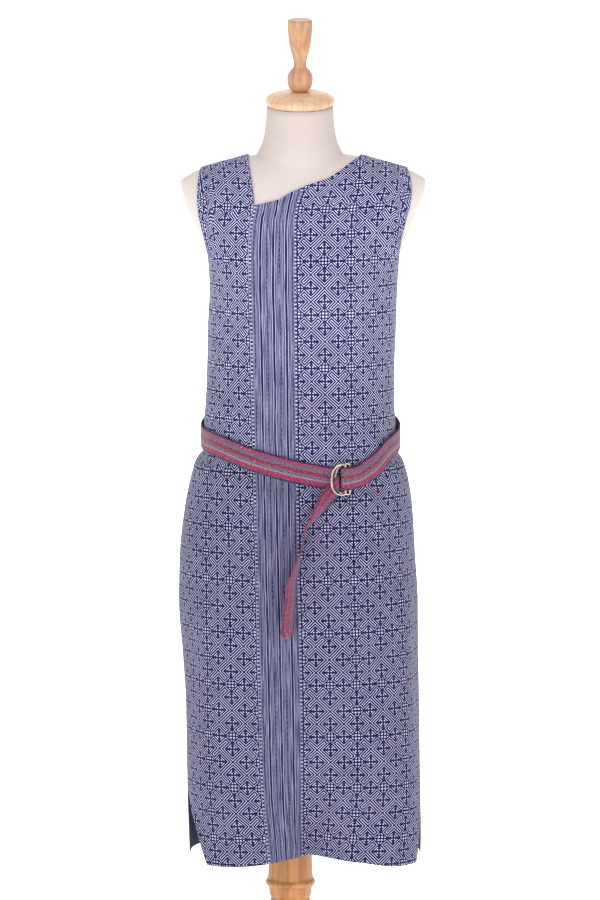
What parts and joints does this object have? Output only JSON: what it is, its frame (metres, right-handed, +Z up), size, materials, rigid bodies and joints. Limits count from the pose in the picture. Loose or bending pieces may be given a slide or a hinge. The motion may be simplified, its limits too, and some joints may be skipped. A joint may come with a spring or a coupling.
{
  "type": "sheath dress on dress form",
  "caption": "Sleeveless wrap-look sheath dress with a slanted neckline and a ring-fastened belt, worn on a limbless padded dress form with a turned wooden stand.",
  "frame": {"origin": "on the floor, in the middle of the stand's round base", "axes": "+Z up; the front of the dress faces -Y; +X is the wearer's left, the picture's right"},
  "size_m": [0.43, 0.43, 1.6022],
  "materials": {
    "batik_cotton_right": "matte",
    "batik_cotton_left": "matte",
    "batik_cotton_back": "matte",
    "belt_strap_webbing": "matte",
    "belt_tail_webbing": "matte",
    "belt_fringe_threads": "matte",
    "nickel_wire_front": "polished",
    "nickel_wire_rear": "polished",
    "linen_jersey": "matte",
    "pale_beech_cap": "satin",
    "pale_beech_finial": "satin",
    "oiled_beech_pole": "satin",
    "oiled_beech_column": "satin",
    "oiled_beech_base": "satin"
  },
  "bodies": {
    "root": {"dress_front_right": "batik_cotton_right", "dress_front_left": "batik_cotton_left", "dress_back": "batik_cotton_back", "belt_strap": "belt_strap_webbing", "belt_tail": "belt_tail_webbing", "belt_fringe": "belt_fringe_threads", "belt_ring_front": "nickel_wire_front", "belt_ring_rear": "nickel_wire_rear", "form_torso": "linen_jersey", "form_cap": "pale_beech_cap", "form_finial": "pale_beech_finial", "stand_pole": "oiled_beech_pole", "stand_column": "oiled_beech_column", "stand_base": "oiled_beech_base"}
  },
  "joints": []
}
